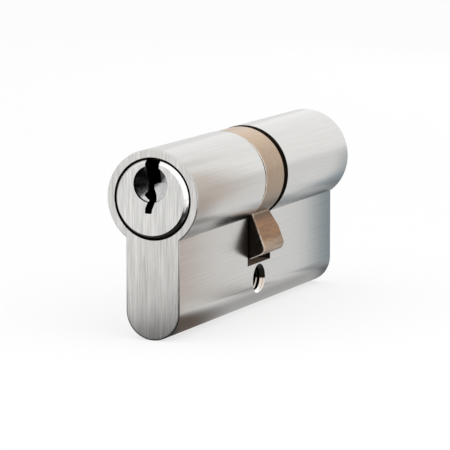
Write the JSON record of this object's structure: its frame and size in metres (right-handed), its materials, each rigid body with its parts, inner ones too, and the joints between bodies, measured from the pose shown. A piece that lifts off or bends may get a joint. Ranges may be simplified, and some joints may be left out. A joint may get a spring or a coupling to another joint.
{
  "type": "euro cylinder",
  "caption": "Euro profile double cylinder with a plug and keyway at each end, a central cam with its tongue, and a fixing screw hole.",
  "frame": {"origin": "on the axis that the plugs and the cam turn about, midway between the two end faces of the housing", "axes": "+Y along the cylinder from the outside face to the inside face, +Z from the axis away from the stem, +X along the fixing screw"},
  "size_m": [0.017, 0.0716, 0.033],
  "materials": {
    "satin_nickel": "satin nickel plate on brass, fine brushing along the sides and down the end faces",
    "plug_nickel": "nickel plate on brass, brushed face with a polished bevel and key guide",
    "cam_bronze": "steel with a warm bronze tint, finely brushed round the ring",
    "hardened_steel": "hardened steel, dark satin",
    "driver_steel": "turned steel",
    "spring_steel": "drawn spring wire and strip",
    "pin_brass": "turned brass"
  },
  "bodies": {
    "housing": {"housing": "satin_nickel", "outside_stem_guard": "hardened_steel", "outside_chamber_plugs": "pin_brass", "inside_stem_guard": "hardened_steel", "inside_chamber_plugs": "pin_brass", "outside_spring_1": "spring_steel", "outside_spring_2": "spring_steel", "outside_spring_3": "spring_steel", "outside_spring_4": "spring_steel", "outside_spring_5": "spring_steel", "inside_spring_1": "spring_steel", "inside_spring_2": "spring_steel", "inside_spring_3": "spring_steel", "inside_spring_4": "spring_steel", "inside_spring_5": "spring_steel"},
    "outside_plug": {"outside_plug": "plug_nickel", "outside_circlip": "spring_steel", "outside_plug_guards": "hardened_steel"},
    "inside_plug": {"inside_plug": "plug_nickel", "inside_circlip": "spring_steel", "inside_plug_guards": "hardened_steel"},
    "cam": {"cam": "cam_bronze"},
    "outside_coupling": {"outside_coupling": "hardened_steel"},
    "inside_coupling": {"inside_coupling": "hardened_steel"},
    "outside_key_pin_1": {"outside_key_pin_1": "pin_brass"},
    "outside_key_pin_2": {"outside_key_pin_2": "pin_brass"},
    "outside_key_pin_3": {"outside_key_pin_3": "pin_brass"},
    "outside_key_pin_4": {"outside_key_pin_4": "pin_brass"},
    "outside_key_pin_5": {"outside_key_pin_5": "pin_brass"},
    "inside_key_pin_1": {"inside_key_pin_1": "pin_brass"},
    "inside_key_pin_2": {"inside_key_pin_2": "pin_brass"},
    "inside_key_pin_3": {"inside_key_pin_3": "pin_brass"},
    "inside_key_pin_4": {"inside_key_pin_4": "pin_brass"},
    "inside_key_pin_5": {"inside_key_pin_5": "pin_brass"},
    "outside_driver_pin_1": {"outside_driver_pin_1": "driver_steel"},
    "outside_driver_pin_2": {"outside_driver_pin_2": "driver_steel"},
    "outside_driver_pin_3": {"outside_driver_pin_3": "driver_steel"},
    "outside_driver_pin_4": {"outside_driver_pin_4": "driver_steel"},
    "outside_driver_pin_5": {"outside_driver_pin_5": "driver_steel"},
    "inside_driver_pin_1": {"inside_driver_pin_1": "driver_steel"},
    "inside_driver_pin_2": {"inside_driver_pin_2": "driver_steel"},
    "inside_driver_pin_3": {"inside_driver_pin_3": "driver_steel"},
    "inside_driver_pin_4": {"inside_driver_pin_4": "driver_steel"},
    "inside_driver_pin_5": {"inside_driver_pin_5": "driver_steel"}
  },
  "joints": [
    {"name": "outside_plug_turn", "type": "hinge", "parent": "housing", "child": "outside_plug", "pos_m": [0, 0, 0], "axis": [0, 1, 0], "continuous": true},
    {"name": "inside_plug_turn", "type": "hinge", "parent": "housing", "child": "inside_plug", "pos_m": [0, 0, 0], "axis": [0, 1, 0], "continuous": true},
    {"name": "cam_turn", "type": "hinge", "parent": "housing", "child": "cam", "pos_m": [0, 0, 0], "axis": [0, 1, 0], "continuous": true},
    {"name": "outside_coupling_slide", "type": "slide", "parent": "outside_plug", "child": "outside_coupling", "axis": [0, 1, 0], "range_m": [-0.002, 0]},
    {"name": "inside_coupling_slide", "type": "slide", "parent": "inside_plug", "child": "inside_coupling", "axis": [0, 1, 0], "range_m": [-0.002, 0]},
    {"name": "outside_key_pin_1_lift", "type": "slide", "parent": "outside_plug", "child": "outside_key_pin_1", "axis": [0, 0, 1], "range_m": [0, 0.00245]},
    {"name": "outside_key_pin_2_lift", "type": "slide", "parent": "outside_plug", "child": "outside_key_pin_2", "axis": [0, 0, 1], "range_m": [0, 0.00145]},
    {"name": "outside_key_pin_3_lift", "type": "slide", "parent": "outside_plug", "child": "outside_key_pin_3", "axis": [0, 0, 1], "range_m": [0, 0.00345]},
    {"name": "outside_key_pin_4_lift", "type": "slide", "parent": "outside_plug", "child": "outside_key_pin_4", "axis": [0, 0, 1], "range_m": [0, 0.00195]},
    {"name": "outside_key_pin_5_lift", "type": "slide", "parent": "outside_plug", "child": "outside_key_pin_5", "axis": [0, 0, 1], "range_m": [0, 0.00295]},
    {"name": "inside_key_pin_1_lift", "type": "slide", "parent": "inside_plug", "child": "inside_key_pin_1", "axis": [0, 0, 1], "range_m": [0, 0.00175]},
    {"name": "inside_key_pin_2_lift", "type": "slide", "parent": "inside_plug", "child": "inside_key_pin_2", "axis": [0, 0, 1], "range_m": [0, 0.00315]},
    {"name": "inside_key_pin_3_lift", "type": "slide", "parent": "inside_plug", "child": "inside_key_pin_3", "axis": [0, 0, 1], "range_m": [0, 0.00215]},
    {"name": "inside_key_pin_4_lift", "type": "slide", "parent": "inside_plug", "child": "inside_key_pin_4", "axis": [0, 0, 1], "range_m": [0, 0.00365]},
    {"name": "inside_key_pin_5_lift", "type": "slide", "parent": "inside_plug", "child": "inside_key_pin_5", "axis": [0, 0, 1], "range_m": [0, 0.00135]},
    {"name": "outside_driver_pin_1_press", "type": "slide", "parent": "housing", "child": "outside_driver_pin_1", "axis": [0, 0, 1], "range_m": [-0.003, 0], "stiffness_N_per_m": 100, "springref_m": 0.003, "deforming": ["outside_spring_1"]},
    {"name": "outside_driver_pin_2_press", "type": "slide", "parent": "housing", "child": "outside_driver_pin_2", "axis": [0, 0, 1], "range_m": [-0.003, 0], "stiffness_N_per_m": 100, "springref_m": 0.003, "deforming": ["outside_spring_2"]},
    {"name": "outside_driver_pin_3_press", "type": "slide", "parent": "housing", "child": "outside_driver_pin_3", "axis": [0, 0, 1], "range_m": [-0.003, 0], "stiffness_N_per_m": 100, "springref_m": 0.003, "deforming": ["outside_spring_3"]},
    {"name": "outside_driver_pin_4_press", "type": "slide", "parent": "housing", "child": "outside_driver_pin_4", "axis": [0, 0, 1], "range_m": [-0.003, 0], "stiffness_N_per_m": 100, "springref_m": 0.003, "deforming": ["outside_spring_4"]},
    {"name": "outside_driver_pin_5_press", "type": "slide", "parent": "housing", "child": "outside_driver_pin_5", "axis": [0, 0, 1], "range_m": [-0.003, 0], "stiffness_N_per_m": 100, "springref_m": 0.003, "deforming": ["outside_spring_5"]},
    {"name": "inside_driver_pin_1_press", "type": "slide", "parent": "housing", "child": "inside_driver_pin_1", "axis": [0, 0, 1], "range_m": [-0.003, 0], "stiffness_N_per_m": 100, "springref_m": 0.003, "deforming": ["inside_spring_1"]},
    {"name": "inside_driver_pin_2_press", "type": "slide", "parent": "housing", "child": "inside_driver_pin_2", "axis": [0, 0, 1], "range_m": [-0.003, 0], "stiffness_N_per_m": 100, "springref_m": 0.003, "deforming": ["inside_spring_2"]},
    {"name": "inside_driver_pin_3_press", "type": "slide", "parent": "housing", "child": "inside_driver_pin_3", "axis": [0, 0, 1], "range_m": [-0.003, 0], "stiffness_N_per_m": 100, "springref_m": 0.003, "deforming": ["inside_spring_3"]},
    {"name": "inside_driver_pin_4_press", "type": "slide", "parent": "housing", "child": "inside_driver_pin_4", "axis": [0, 0, 1], "range_m": [-0.003, 0], "stiffness_N_per_m": 100, "springref_m": 0.003, "deforming": ["inside_spring_4"]},
    {"name": "inside_driver_pin_5_press", "type": "slide", "parent": "housing", "child": "inside_driver_pin_5", "axis": [0, 0, 1], "range_m": [-0.003, 0], "stiffness_N_per_m": 100, "springref_m": 0.003, "deforming": ["inside_spring_5"]}
  ],
  "couplings": [
    {"joint": "cam_turn", "follows": "outside_plug_turn", "ratio": 1},
    {"joint": "inside_coupling_slide", "follows": "outside_coupling_slide", "ratio": 1}
  ]
}
